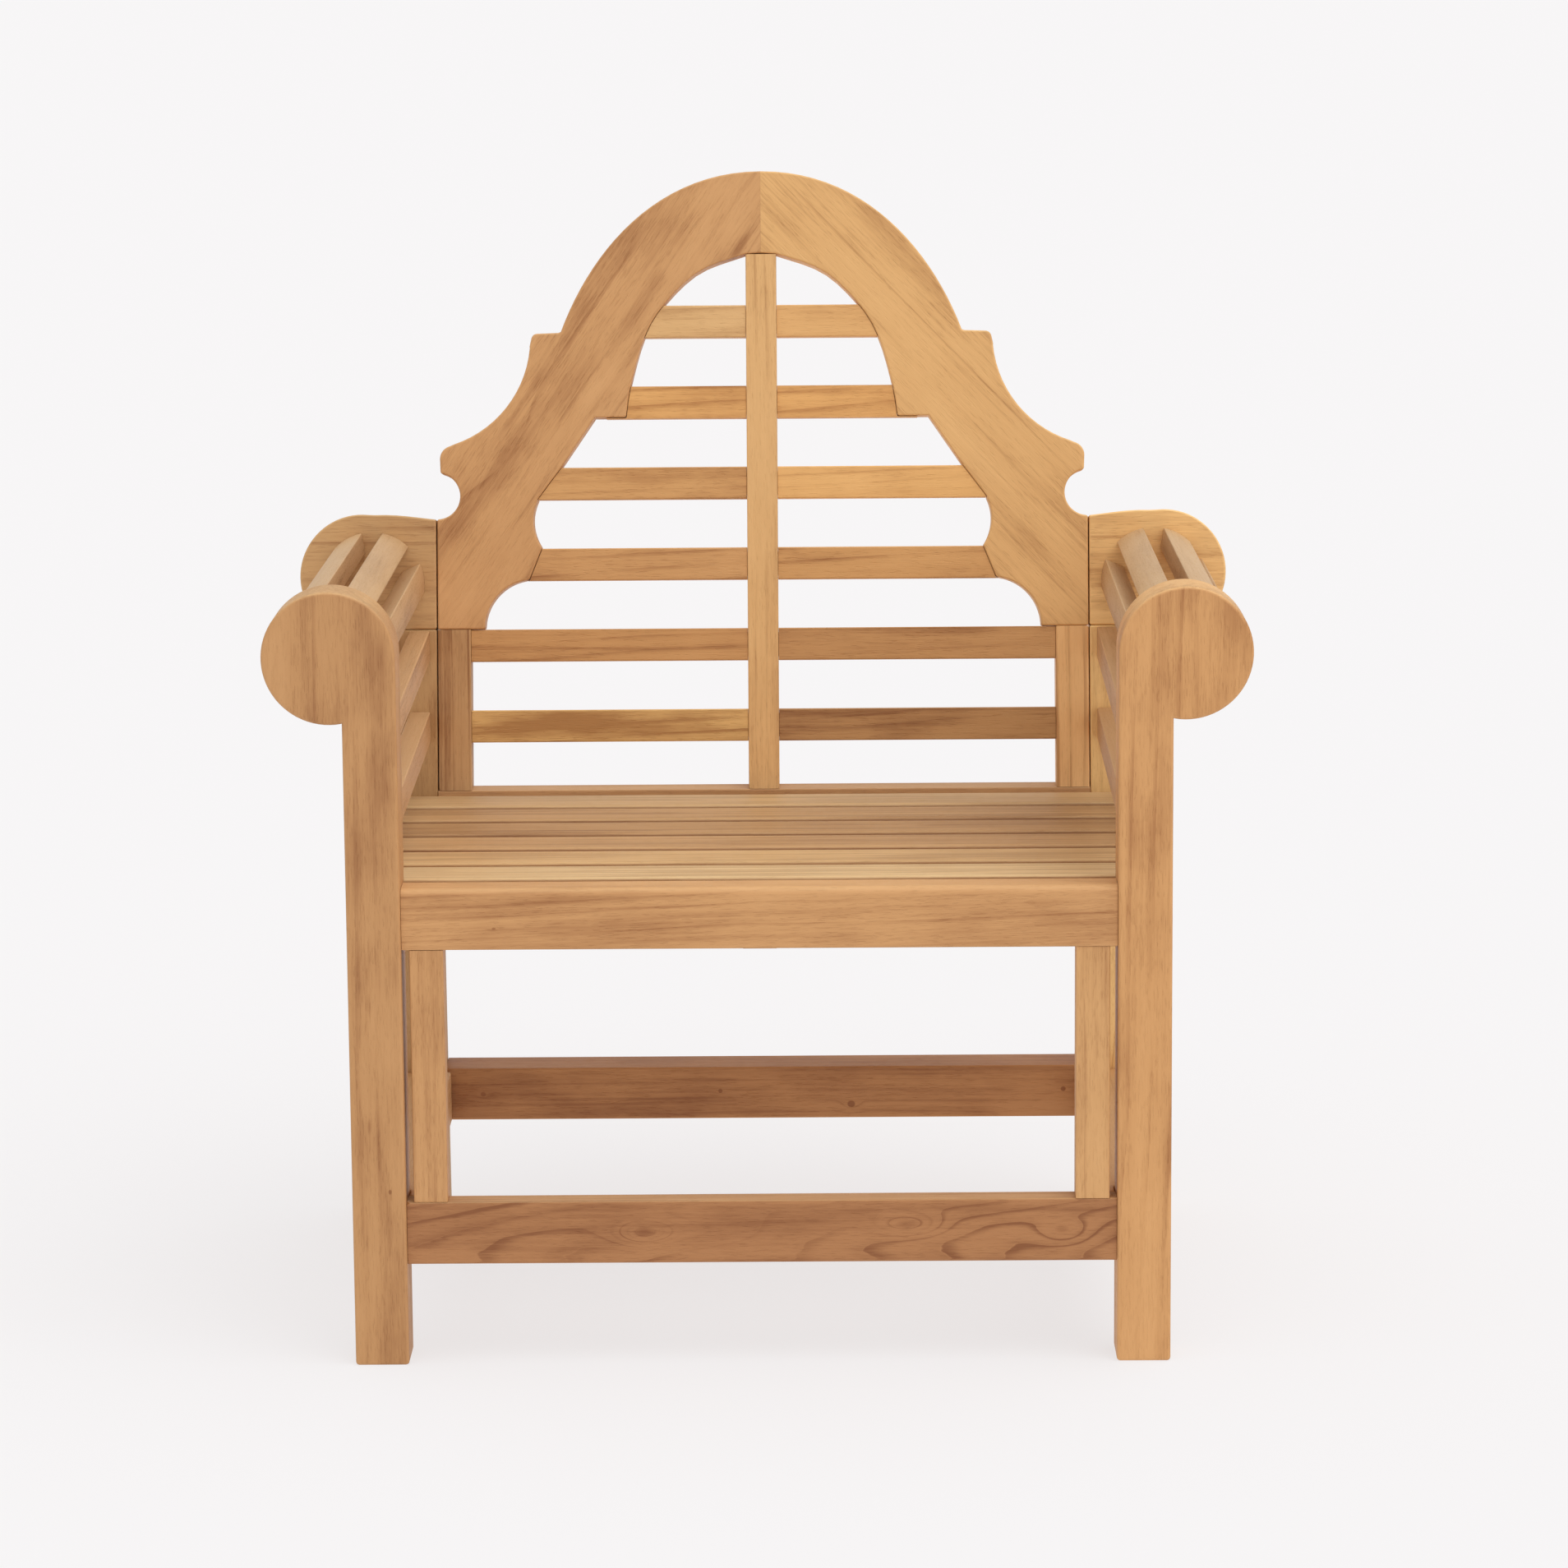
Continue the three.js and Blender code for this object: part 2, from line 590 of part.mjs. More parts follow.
const frontStileBody = box(
  [FRONT_STILE.inner, FRONT_STILE.outer],
  [FRONT_SETBACK + 1, FRONT_SETBACK + 1 + FRONT_STILE.thickness],
  [STRETCHER_TOP + CLEARANCE, railHeight[0] - CLEARANCE],
);
const frontStileTenons = [solid(box(...frontStileFoot)), solid(box(...frontStileHead))];
const frontStile = joined(solid(frontStileBody), frontStileTenons);
addPair('front_stile', frontStile, TONE.golden, TONE.golden);

// ---------------------------------------------------------------- rear and side frames

const rearStretcher = joined(
  solid(box([-shoulderX, shoulderX], rearStretcherDepth, rearStretcherHeight)),
  bothSides(tenonSolid('rearStretcher')),
);
addNode('rear_stretcher', rearStretcher, TONE.dark);

const rearRail = joined(
  solid(box([-shoulderX, shoulderX], rearRailDepth, rearRailHeight)),
  bothSides(tenonSolid('rearRail')),
);
const stileFootSocket = inBack(grownBox(...stileFoot));
addNode('seat_rear_rail', cut(rearRail, [
  solid(grownBox(...centerBearerTenonRear)),
  inBack(grownBox(...muntinFoot)),
  ...bothSides(stileFootSocket),
]), TONE.brown);

// Everything behind the front faces of the rear legs, with the shoulder clearance
function behindRearLegs() {
  const section = [
    [REAR_FOOT_DEPTH - CLEARANCE, 0],
    [REAR_FOOT_DEPTH + 300, 0],
    [REAR_FOOT_DEPTH + 300, SEAT_HEIGHT],
    [BACK_DEPTH - CLEARANCE, SEAT_HEIGHT],
  ];
  return solid(bar(section, -600, 600));
}

// The space of a front leg, with the shoulder clearance
const frontLegCorner = solid(grownBox([CLEAR_HALF_WIDTH, LEG_OUTER], [0, LEG_DEPTH], [0, SEAT_HEIGHT]));

// A bar from front to rear: shouldered against the rear leg, and notched round the front leg
function sideBar(name, size, frontEnd, height) {
  const blank = solid(box([size.inner, size.outer], [frontEnd, 560], height));
  const tenons = [tenonSolid(`${name}Front`), tenonSolid(`${name}Rear`)];
  return joined(cut(blank, [behindRearLegs(), frontLegCorner]), tenons);
}
const sideRail = sideBar('sideRail', SIDE_RAIL, LEG_DEPTH + CLEARANCE, sideRailHeight);
const sideStretcherEnd = stretcherDepth[1] + CLEARANCE;
const sideStretcher = sideBar('sideStretcher', SIDE_STRETCHER, sideStretcherEnd, sideStretcherHeight);
addPair('seat_side_rail', sideRail, TONE.tan, TONE.tan);
addPair('side_stretcher', sideStretcher, TONE.honey, TONE.honey);

const centerBearer = joined(
  solid(box(
    [-CENTER_BEARER.halfWidth, CENTER_BEARER.halfWidth],
    [railDepth[1] + CLEARANCE, BACK_DEPTH - CLEARANCE],
    [BEARER_TOP - CENTER_BEARER.height, BEARER_TOP],
  )),
  [solid(box(...centerBearerTenonFront)), solid(box(...centerBearerTenonRear))],
);
addNode('seat_center_bearer', centerBearer, TONE.tan);

// ---------------------------------------------------------------- seat slats

function seatSlat(number) {
  const y0 = SEAT_SLAT_START + number * SEAT_SLAT_PITCH;
  const y1 = y0 + SEAT_SLAT_WIDTH;
  const z0 = SEAT_HEIGHT - SEAT_SLAT_THICKNESS;
  const ease = SEAT_SLAT_EASE;
  const section = [
    [y0, z0],
    [y1, z0],
    ...arc(y1 - ease, SEAT_HEIGHT - ease, ease, 0, Math.PI / 2),
    ...arc(y0 + ease, SEAT_HEIGHT - ease, ease, Math.PI / 2, Math.PI),
  ];
  return solid(bar(section, -SIDE_RAIL.outer, SIDE_RAIL.outer));
}

const SEAT_TONES = [TONE.golden, TONE.sand, TONE.honey, TONE.tan, TONE.honey, TONE.sand];
for (let number = 0; number < SEAT_SLATS; number += 1) {
  addNode(`seat_slat_${number + 1}`, seatSlat(number), SEAT_TONES[number]);
}

chair.position.y = FRONT_Y;

export default chair;
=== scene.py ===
import math

import bmesh
import bpy
from mathutils import Matrix, Vector
from mathutils.bvhtree import BVHTree


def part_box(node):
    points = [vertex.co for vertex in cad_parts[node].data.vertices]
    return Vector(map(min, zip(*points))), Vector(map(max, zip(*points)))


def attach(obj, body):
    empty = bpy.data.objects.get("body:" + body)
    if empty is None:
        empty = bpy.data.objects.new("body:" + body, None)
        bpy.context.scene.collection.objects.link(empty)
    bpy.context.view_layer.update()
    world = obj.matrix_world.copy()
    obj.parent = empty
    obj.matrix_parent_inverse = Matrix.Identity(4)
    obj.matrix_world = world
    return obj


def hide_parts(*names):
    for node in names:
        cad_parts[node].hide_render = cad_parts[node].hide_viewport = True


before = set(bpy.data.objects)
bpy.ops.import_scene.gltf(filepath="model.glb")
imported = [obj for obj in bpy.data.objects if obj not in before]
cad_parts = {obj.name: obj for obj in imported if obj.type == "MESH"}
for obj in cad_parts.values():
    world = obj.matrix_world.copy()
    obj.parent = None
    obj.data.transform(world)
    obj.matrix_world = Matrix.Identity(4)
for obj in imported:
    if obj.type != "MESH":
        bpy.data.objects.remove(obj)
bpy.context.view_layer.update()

# A single garden armchair in solid teak. The CAD nodes stay as they are. Each one is replaced by a copy
# with rounded edges and its own wood, whose grain runs the way that piece was sawn.
# Metres, +Z up, the chair's front towards -Y.

RAKE = math.radians(10)
UP = Vector((0, 0, 1))
ALONG = Vector((1, 0, 0))
INWARD = Vector((0, 1, 0))
BACK_UP = Vector((0, math.sin(RAKE), math.cos(RAKE)))
BACK_FACE = Vector((0, math.cos(RAKE), -math.sin(RAKE)))

WELD = 0.00001
NEARLY_FLAT = math.radians(0.5)
SHARP = math.radians(35)  # edges that turn further than this are real edges, and the others are curves
ROUND_STEPS = 3
MITRE_NEAR = 0.001  # an edge that lies this close to the chair's middle plane belongs to the crest's mitre
MITRE_GAP = 0.0005  # the CAD halves of the crest stop within this distance of that plane
MITRE_LEFT_OPEN = 0.1  # the part of the gap that is kept, because the real halves touch

# What the plain wood's colour is multiplied by, in linear red, green and blue.
DEEP = (0.58, 0.46, 0.38)
PALE = (1.16, 1.22, 1.3)
TOP_LIGHTING = (0.2, 0.38, 0.55)  # added to 1 on upward faces, as painted light that pales the tops

# ---------------------------------------------------------------- shader helpers


class Tree:
    """A node tree under construction, with short calls for the nodes that the wood uses."""

    def __init__(self, tree):
        self.tree = tree

    def add(self, kind, **settings):
        node = self.tree.nodes.new(kind)
        for key, value in settings.items():
            setattr(node, key, value)
        return node

    def feed(self, socket, source):
        if isinstance(source, bpy.types.NodeSocket):
            self.tree.links.new(source, socket)
        else:
            socket.default_value = source

    def math(self, operation, *values, clamp=False):
        node = self.add("ShaderNodeMath", operation=operation, use_clamp=clamp)
        for socket, value in zip(node.inputs, values):
            self.feed(socket, value)
        return node.outputs[0]

    def vector(self, operation, *values):
        node = self.add("ShaderNodeVectorMath", operation=operation)
        for socket, value in zip(node.inputs, values):
            self.feed(socket, value)
        return node.outputs["Value" if operation in ("DOT_PRODUCT", "LENGTH") else "Vector"]

    def noise(self, vector, across, along, detail=2.0, roughness=0.5):
        """Noise stretched along the grain, which is the z axis, with its scales in cells a metre."""
        stretched = self.vector("MULTIPLY", vector, (across, across, along))
        node = self.add("ShaderNodeTexNoise")
        node.inputs["Scale"].default_value = 1.0
        node.inputs["Detail"].default_value = detail
        node.inputs["Roughness"].default_value = roughness
        self.tree.links.new(stretched, node.inputs["Vector"])
        return node

    def step(self, value, low, high):
        """0 below low, 1 above high, smooth between them."""
        node = self.add("ShaderNodeMapRange", interpolation_type="SMOOTHSTEP")
        for name, number in (("Value", value), ("From Min", low), ("From Max", high)):
            self.feed(node.inputs[name], number)
        return node.outputs["Result"]

    def blend(self, factor, first, second):
        node = self.add("ShaderNodeMix", data_type="RGBA")
        self.feed(node.inputs["Factor"], factor)
        self.feed(node.inputs[6], first)
        self.feed(node.inputs[7], second)
        return node.outputs[2]


def new_group(name, inputs, outputs):
    """An empty node group with the given sockets. Returns its Tree, its input node and its output node."""
    group = bpy.data.node_groups.new(name, "ShaderNodeTree")
    for direction, sockets in (("INPUT", inputs), ("OUTPUT", outputs)):
        for label, kind in sockets:
            group.interface.new_socket(name=label, in_out=direction, socket_type="NodeSocket" + kind)
    tree = Tree(group)
    return tree, tree.add("NodeGroupInput"), tree.add("NodeGroupOutput")


# ---------------------------------------------------------------- the wood itself


def wood_group():
    """Teak in its own coordinates: z runs along the grain, y through the board's face, all in metres.
    Growth rings are shells round the pith, which lies outside most boards. Where a board's face cuts
    them at a low angle they show as arches, and elsewhere as lines."""
    tree, given, result = new_group(
        "teak",
        [("Place", "Vector"), ("Seed", "Float"), ("Tone", "Color"), ("Deep", "Color"), ("Pale", "Color"),
         ("Ring Width", "Float"), ("Pith", "Vector"), ("Lean", "Float"), ("Wander", "Float"),
         ("Figure", "Float"), ("Streak", "Float"), ("Mottle", "Float"), ("Bulge", "Float"),
         ("Darkening", "Float"), ("Edge", "Float"), ("End", "Float"), ("Top Light", "Float"),
         ("Top Lit", "Color")],
        [("Color", "Color"), ("Roughness", "Float"), ("Height", "Float")],
    )
    get = given.outputs
    shift = tree.add("ShaderNodeCombineXYZ")
    for axis, factor in zip(shift.inputs, (3.1, 1.7, 2.3)):
        tree.feed(axis, tree.math("MULTIPLY", get["Seed"], factor))
    place = tree.vector("ADD", get["Place"], shift.outputs[0])

    # Rings, pushed about by slow noise so that the lines wander along the board.
    slow = tree.noise(place, 7, 2.2, detail=2)
    push = tree.vector("SUBTRACT", slow.outputs["Color"], (0.5, 0.5, 0.5))
    scale = tree.add("ShaderNodeVectorMath", operation="SCALE")
    tree.feed(scale.inputs[0], push)
    tree.feed(scale.inputs["Scale"], get["Wander"])
    warped = tree.vector("ADD", get["Place"], scale.outputs[0])
    split = tree.add("ShaderNodeSeparateXYZ")
    tree.feed(split.inputs[0], tree.vector("SUBTRACT", warped, get["Pith"]))
    tilted = tree.math("MULTIPLY_ADD", split.outputs["Z"], get["Lean"], split.outputs["Y"])
    distance = tree.math("SQRT", tree.math("ADD", tree.math("POWER", split.outputs["X"], 2),
                                           tree.math("POWER", tilted, 2)))
    ripple = tree.noise(place, 45, 6, detail=3)
    rippled = tree.math("MULTIPLY_ADD", ripple.outputs[0], 0.003, distance)
    radius = tree.math("ADD", rippled, get["Bulge"])
    ring = tree.math("DIVIDE", radius, get["Ring Width"])
    phase = tree.math("FRACT", ring)
    late = tree.math("MULTIPLY", tree.step(phase, 0.62, 0.95), tree.step(phase, 1.0, 0.96))
    early = tree.step(phase, 0.3, 0.0)
    each = tree.add("ShaderNodeTexWhiteNoise", noise_dimensions="1D")
    tree.feed(each.inputs["W"], tree.math("ADD", tree.math("FLOOR", ring), get["Seed"]))
    strength = tree.math("MULTIPLY_ADD", each.outputs["Value"], 0.8, 0.2)
    patches = tree.step(tree.noise(place, 28, 5, detail=2).outputs[0], 0.36, 0.64)
    strength = tree.math("MULTIPLY", strength, tree.math("MULTIPLY_ADD", patches, 0.9, 0.2))
    lines = tree.math("MULTIPLY", strength, tree.math("MULTIPLY_ADD", early, 0.25, late))

    # Slower colour changes, long streaks, fibres and open pores.
    broad = tree.noise(place, 20, 2.6, detail=2).outputs[0]
    streaks = tree.step(tree.noise(place, 85, 2.4, detail=3, roughness=0.6).outputs[0], 0.5, 0.78)
    thread = tree.noise(place, 240, 5, detail=2, roughness=0.6).outputs[0]
    fibre = tree.noise(place, 620, 22, detail=3, roughness=0.65).outputs[0]
    pores = tree.step(tree.noise(place, 1100, 90, detail=1).outputs[0], 0.58, 0.7)
    mottle = tree.noise(place, 30, 14, detail=3).outputs[0]

    depth = tree.math("MULTIPLY", lines, get["Figure"])
    depth = tree.math("MULTIPLY_ADD", streaks, get["Streak"], depth)
    depth = tree.math("MULTIPLY_ADD", tree.math("SUBTRACT", broad, 0.5), get["Mottle"], depth)
    speckle = tree.math("MULTIPLY", tree.math("SUBTRACT", mottle, 0.5), get["Mottle"])
    depth = tree.math("MULTIPLY_ADD", speckle, 0.6, depth)
    depth = tree.math("MULTIPLY_ADD", tree.math("SUBTRACT", thread, 0.5), 0.55, depth)
    depth = tree.math("MULTIPLY_ADD", tree.math("SUBTRACT", fibre, 0.5), 0.8, depth)
    depth = tree.math("MULTIPLY_ADD", pores, 0.22, depth)
    # This darkening carries the knots and also the painted shade on the sides of some pieces.
    depth = tree.math("MULTIPLY_ADD", get["Darkening"], 1.6, depth)
    depth = tree.math("MULTIPLY_ADD", get["End"], 0.35, depth)
    deepened = tree.blend(tree.math("MAXIMUM", depth, 0.0, clamp=True), get["Tone"], get["Deep"])
    lightness = tree.math("MULTIPLY", tree.math("SUBTRACT", 0.0, depth), 0.9, clamp=True)
    lit = tree.blend(lightness, deepened, get["Pale"])
    # Rounded edges are paled along a noisy band: partly wear, partly a painted highlight where the edges
    # catch the light.
    edge_wear_and_highlight = tree.math("MULTIPLY", get["Edge"], tree.step(ripple.outputs[0], 0.3, 0.65))
    worn_and_highlit = tree.blend(tree.math("MULTIPLY", edge_wear_and_highlight, 0.5), lit, get["Pale"])
    # Upward faces are paled towards a lighter colour: painted light from overhead, a sheen on the tops.
    bleach = tree.math("MULTIPLY", get["Top Light"], tree.math("MULTIPLY_ADD", thread, 0.9, 0.05))
    tree.feed(result.inputs["Color"], tree.blend(bleach, worn_and_highlit, get["Top Lit"]))

    rough = tree.math("MULTIPLY_ADD", fibre, 0.16, 0.44)
    rough = tree.math("MULTIPLY_ADD", pores, 0.12, rough)
    tree.feed(result.inputs["Roughness"], tree.math("MULTIPLY_ADD", get["End"], 0.12, rough))
    height = tree.math("MULTIPLY_ADD", pores, -0.9, fibre)
    height = tree.math("MULTIPLY_ADD", lines, 0.35, height)
    tree.feed(result.inputs["Height"], height)
    return tree.tree


def knot_group():
    """One knot or eye in the figure: it lifts the rings round a point and can darken its middle."""
    tree, given, result = new_group(
        "eye",
        [("Place", "Vector"), ("Middle", "Vector"), ("Size", "Vector"), ("Rise", "Float"),
         ("Darkness", "Float"), ("Bulge", "Float"), ("Darkening", "Float")],
        [("Bulge", "Float"), ("Darkening", "Float")],
    )
    get = given.outputs
    offset = tree.vector("DIVIDE", tree.vector("SUBTRACT", get["Place"], get["Middle"]), get["Size"])
    distance = tree.vector("LENGTH", offset)
    hill = tree.math("EXPONENT", tree.math("MULTIPLY", tree.math("POWER", distance, 2), -1.0))
    tree.feed(result.inputs["Bulge"], tree.math("MULTIPLY_ADD", hill, get["Rise"], get["Bulge"]))
    core = tree.math("MULTIPLY", tree.step(distance, 0.5, 0.1), get["Darkness"])
    tree.feed(result.inputs["Darkening"], tree.math("ADD", core, get["Darkening"]))
    return tree.tree


WOOD = wood_group()
EYE = knot_group()
EYE_DEPTH = 5.0  # an eye runs right through its board


def linear(red, green, blue):
    """A colour given as 0 to 255 display values, as the linear numbers that shaders use."""
    def one(value):
        part = value / 255
        return part / 12.92 if part <= 0.04045 else ((part + 0.055) / 1.055) ** 2.4
    return (one(red), one(green), one(blue), 1.0)


def scaled(colour, *factors):
    return tuple(c * f for c, f in zip(colour, factors)) + (1.0,)


def wood(name, grain, face, tone, seed, ring=0.009, pith=(0.12, 0.05), lean=0.0, wander=0.012, figure=0.6,
         streak=0.5, mottle=1.5, bleach=1.0, grime=0.0, eyes=()):
    """The wood of one piece. grain and face are directions, pith is across and behind the piece's middle,
    the sides can be darkened with painted shade, and an eye is (along, across, half length, half width,
    rise, darkness), with its place counted from the piece's middle."""
    low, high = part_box(name)
    middle = (low + high) / 2
    grain = grain.normalized()
    side = face.cross(grain).normalized()
    face = grain.cross(side).normalized()
    turn = Matrix((side, face, grain)).transposed()

    material = bpy.data.materials.new(name + "_teak")
    material.use_nodes = True
    material.node_tree.nodes.clear()
    tree = Tree(material.node_tree)
    coordinates = tree.add("ShaderNodeTexCoord")
    mapping = tree.add("ShaderNodeMapping", vector_type="TEXTURE")
    tree.feed(mapping.inputs["Vector"], coordinates.outputs["Object"])
    mapping.inputs["Location"].default_value = middle
    mapping.inputs["Rotation"].default_value = turn.to_euler()
    place = mapping.outputs[0]

    # A rounded edge is where the surface turns from the board's face towards its side.
    facing = tree.math("ABSOLUTE", tree.vector("DOT_PRODUCT", coordinates.outputs["Normal"], face))
    turned = tree.math("SQRT", tree.math("SUBTRACT", 1.0, tree.math("POWER", facing, 2), clamp=True))
    edge = tree.math("MULTIPLY", tree.math("MULTIPLY", facing, turned), 2.0, clamp=True)
    along = tree.math("ABSOLUTE", tree.vector("DOT_PRODUCT", coordinates.outputs["Normal"], grain))
    up = tree.vector("DOT_PRODUCT", coordinates.outputs["Normal"], UP)

    shade = tree.add("ShaderNodeGroup", node_tree=WOOD)
    bulge, darkening = 0.0, 0.0
    for lengthwise, across, half_length, half_width, rise, darkness in eyes:
        eye = tree.add("ShaderNodeGroup", node_tree=EYE)
        tree.feed(eye.inputs["Place"], place)
        eye.inputs["Middle"].default_value = (across, 0, lengthwise)
        eye.inputs["Size"].default_value = (half_width, EYE_DEPTH, half_length)
        eye.inputs["Rise"].default_value = rise
        eye.inputs["Darkness"].default_value = darkness
        tree.feed(eye.inputs["Bulge"], bulge)
        tree.feed(eye.inputs["Darkening"], darkening)
        bulge, darkening = eye.outputs
    # Faces that turn away from the board's face are darkened with painted shade, as on the sides of the seat
    # slats in the gaps.
    if grime:
        darkening = tree.math("MULTIPLY_ADD", tree.step(facing, 0.75, 0.35), grime, darkening)
    colour = linear(*tone)
    # Upward faces are paled with painted light, more strongly for a larger factor.
    values = {
        "Place": place, "Seed": seed, "Tone": colour, "Deep": scaled(colour, *DEEP),
        "Pale": scaled(colour, *PALE), "Ring Width": ring, "Pith": (*pith, 0), "Lean": lean,
        "Wander": wander, "Figure": figure, "Streak": streak, "Mottle": mottle, "Bulge": bulge, "Darkening": darkening,
        "Edge": edge, "End": tree.step(along, 0.75, 0.95), "Top Light": tree.step(up, 0.3, 0.85),
        "Top Lit": scaled(colour, *(1 + gain * bleach for gain in TOP_LIGHTING)),
    }
    for label, value in values.items():
        tree.feed(shade.inputs[label], value)

    surface = tree.add("ShaderNodeBsdfPrincipled")
    surface.inputs["Specular IOR Level"].default_value = 0.4
    tree.feed(surface.inputs["Base Color"], shade.outputs["Color"])
    tree.feed(surface.inputs["Roughness"], shade.outputs["Roughness"])
    bump = tree.add("ShaderNodeBump")
    bump.inputs["Strength"].default_value = 0.5
    bump.inputs["Distance"].default_value = 0.0004
    tree.feed(bump.inputs["Height"], shade.outputs["Height"])
    tree.feed(surface.inputs["Normal"], bump.outputs[0])
    output = tree.add("ShaderNodeOutputMaterial")
    tree.feed(output.inputs["Surface"], surface.outputs[0])
    return material


# ---------------------------------------------------------------- eased edges


def walled_in(tree, point, normal, reach=0.15):
    """True if rays from the point, level with a face that has this normal, all meet the piece again."""
    across = normal.orthogonal().normalized()
    other = normal.cross(across)
    for count in range(8):
        turn = math.radians(45 * count + 10)
        if tree.ray_cast(point, math.cos(turn) * across + math.sin(turn) * other, reach)[0] is None:
            return False
    return True


def is_mouth(tree, edge, clear=0.0003):
    """True if the edge is the rim of a mortise or a dowel hole, which stays crisp."""
    middle = (edge.verts[0].co + edge.verts[1].co) / 2
    first, second = (face.normal for face in edge.link_faces)
    for outer, wall in ((first, second), (second, first)):
        if walled_in(tree, middle + clear * (wall - outer), outer):
            return True
    return False


def at_mitre(edge):
    """True if the edge lies on the chair's middle plane, where the two halves of the crest meet."""
    return all(abs(vertex.co.x) < MITRE_NEAR for vertex in edge.verts)


def runs_along(edge, grain):
    return abs((edge.verts[0].co - edge.verts[1].co).normalized().dot(grain)) > 0.9


def eased(name, width, grain=None):
    """A copy of a CAD node in clean faces, with its outside edges rounded as a router and sandpaper do.
    With a grain direction, only the edges along it are rounded, because the ends butt against a neighbour.
    With no width, nothing is rounded."""
    shape = bmesh.new()
    shape.from_mesh(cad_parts[name].data)
    bmesh.ops.remove_doubles(shape, verts=shape.verts, dist=WELD)
    tree = BVHTree.FromBMesh(shape)
    for vertex in shape.verts:
        if abs(vertex.co.x) < MITRE_GAP:
            vertex.co.x *= MITRE_LEFT_OPEN
    bmesh.ops.dissolve_limit(shape, angle_limit=NEARLY_FLAT, verts=shape.verts, edges=shape.edges)
    sharp = [edge for edge in shape.edges if edge.calc_face_angle_signed(0) > SHARP
             and not at_mitre(edge) and not is_mouth(tree, edge)]
    if grain:
        sharp = [edge for edge in sharp if runs_along(edge, grain)]
    if width:
        bmesh.ops.bevel(shape, geom=sharp, offset=width, segments=ROUND_STEPS, profile=0.5,
                        affect="EDGES", clamp_overlap=False, loop_slide=False)
    mesh = bpy.data.meshes.new(name + "_wood")
    for face in shape.faces:
        face.smooth = True
    for edge in shape.edges:
        edge.smooth = edge.calc_face_angle(0) < SHARP
    shape.to_mesh(mesh)
    shape.free()
    piece = bpy.data.objects.new(name + "_wood", mesh)
    bpy.context.scene.collection.objects.link(piece)
    normals = piece.modifiers.new("normals", "WEIGHTED_NORMAL")
    normals.weight = 50
    normals.keep_sharp = True
    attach(piece, "root")
    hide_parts(name)
    return piece


def finish_piece(name, grain, face, width, tone, seed, butted=False, **look):
    """Gives one CAD node its rounded edges and its wood. width is how far the rounding reaches in from an
    edge, tone is the plain wood's colour as 0 to 255 display values, and seed sets its pattern apart."""
    piece = eased(name, width, grain if butted else None)
    piece.data.materials.append(wood(name, grain, face, tone, seed, **look))


# ---------------------------------------------------------------- the pieces

TAN = (200, 150, 99)
REDDISH = (186, 130, 80)


def slanted(degrees):
    """A grain direction in the plane of the back, turned up from level by this angle."""
    turn = math.radians(degrees)
    return math.cos(turn) * ALONG + math.sin(turn) * BACK_UP


def finish_back():
    finish_piece("back_crest_left", slanted(56), BACK_FACE, 0.002, (209, 157, 103), 1.3, ring=0.019,
                 pith=(0.3, 0.1), figure=0.55, streak=0.5, mottle=2.8, wander=0.03,
                 eyes=((0.2, 0.031, 0.05, 0.012, 0.03, 0.3), (-0.09, -0.05, 0.05, 0.02, 0.02, 0)))
    finish_piece("back_crest_right", slanted(-46), BACK_FACE, 0.002, (226, 176, 114), 2.6, ring=0.0085,
                 pith=(0.4, 0.05), figure=0.5, streak=0.25, mottle=1.8, wander=0.008)
    finish_piece("back_muntin", BACK_UP, BACK_FACE, 0.0015, (226, 178, 118), 3.7, butted=True, ring=0.009)
    finish_piece("back_stile_left", BACK_UP, BACK_FACE, 0.0015, (196, 150, 100), 4.2, butted=True,
                 ring=0.007, figure=1.3, streak=1.2)
    finish_piece("back_stile_right", BACK_UP, BACK_FACE, 0.0015, (236, 184, 122), 5.9, butted=True,
                 ring=0.011, figure=1.2, pith=(0.05, 0.02))
    rows = {
        "left": ((222, 177, 120), (230, 174, 106), (215, 162, 102),
                 (210, 157, 100), (203, 149, 92), (224, 177, 110)),
        "right": ((226, 174, 111), (232, 175, 106), (234, 180, 112),
                  (211, 157, 97), (198, 146, 91), (185, 136, 84)),
    }
    for side, tones in rows.items():
        for row, tone in enumerate(tones, 1):
            seed = 7 + row * 1.37 + (side == "right") * 11.3
            # Row 2 ends on a ledge of the crest, where a rounded edge would run into the joint.
            width = 0 if row == 2 else 0.0015
            finish_piece(f"back_slat_{row}_{side}", ALONG, BACK_FACE, width, tone, seed, butted=True,
                         ring=0.008 + 0.0015 * (row % 3), pith=(0.05 + 0.02 * (row % 2), 0.05), lean=0.05,
                         figure=0.5 + 0.05 * row, mottle=1.4 + 0.3 * row, streak=0.2 + 0.12 * row)


